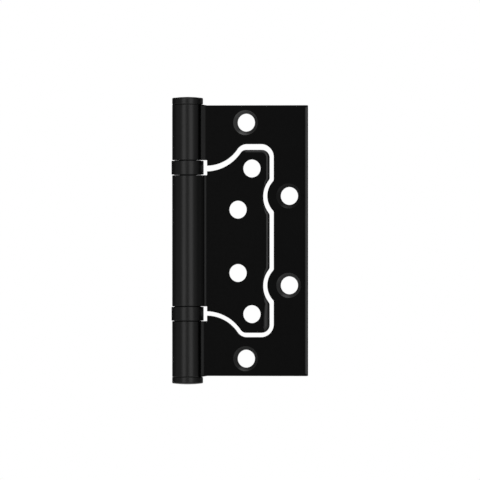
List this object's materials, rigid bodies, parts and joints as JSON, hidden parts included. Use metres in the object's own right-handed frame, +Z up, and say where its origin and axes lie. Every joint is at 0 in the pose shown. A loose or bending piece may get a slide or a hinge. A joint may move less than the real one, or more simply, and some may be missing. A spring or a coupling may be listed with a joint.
{
  "type": "door hinge",
  "caption": "Flush door hinge: a nested inner leaf folds into the window of an outer leaf, on rolled knuckles round a fixed pin with thrust bearings and domed end caps.",
  "frame": {"origin": "on the pin axis, at the middle of the outer leaf's height", "axes": "+Z up along the pin, +X from the pin towards the leaves' free edges, -Y out of the outer leaf's countersunk face"},
  "size_m": [0.0508, 0.0118, 0.1062],
  "materials": {
    "black_coating": "satin black coating on sheet steel",
    "bearing_steel": "blackened, ground and oiled",
    "cage_nylon": "moulded natural nylon"
  },
  "bodies": {
    "outer_leaf": {"outer_leaf": "black_coating", "hinge_pin": "bearing_steel", "top_cap": "black_coating", "bottom_cap": "black_coating", "upper_bearing_top_race": "bearing_steel", "lower_bearing_bottom_race": "bearing_steel", "lower_bearing_casing": "black_coating"},
    "inner_leaf": {"inner_leaf": "black_coating", "upper_bearing_bottom_race": "bearing_steel", "upper_bearing_casing": "black_coating", "lower_bearing_top_race": "bearing_steel"},
    "upper_cage": {"upper_bearing_cage": "cage_nylon", "upper_bearing_roller_1": "bearing_steel", "upper_bearing_roller_2": "bearing_steel", "upper_bearing_roller_3": "bearing_steel", "upper_bearing_roller_4": "bearing_steel", "upper_bearing_roller_5": "bearing_steel", "upper_bearing_roller_6": "bearing_steel", "upper_bearing_roller_7": "bearing_steel", "upper_bearing_roller_8": "bearing_steel"},
    "lower_cage": {"lower_bearing_cage": "cage_nylon", "lower_bearing_roller_1": "bearing_steel", "lower_bearing_roller_2": "bearing_steel", "lower_bearing_roller_3": "bearing_steel", "lower_bearing_roller_4": "bearing_steel", "lower_bearing_roller_5": "bearing_steel", "lower_bearing_roller_6": "bearing_steel", "lower_bearing_roller_7": "bearing_steel", "lower_bearing_roller_8": "bearing_steel"}
  },
  "joints": [
    {"name": "leaf_swing", "type": "hinge", "parent": "outer_leaf", "child": "inner_leaf", "pos_m": [0, 0, 0], "axis": [0, 0, -1], "range_deg": [0, 180]},
    {"name": "upper_cage_turn", "type": "hinge", "parent": "outer_leaf", "child": "upper_cage", "pos_m": [0, 0, 0], "axis": [0, 0, -1], "range_deg": [0, 90]},
    {"name": "lower_cage_turn", "type": "hinge", "parent": "outer_leaf", "child": "lower_cage", "pos_m": [0, 0, 0], "axis": [0, 0, -1], "range_deg": [0, 90]}
  ],
  "couplings": [
    {"joint": "upper_cage_turn", "follows": "leaf_swing", "ratio": 0.5},
    {"joint": "lower_cage_turn", "follows": "leaf_swing", "ratio": 0.5}
  ]
}
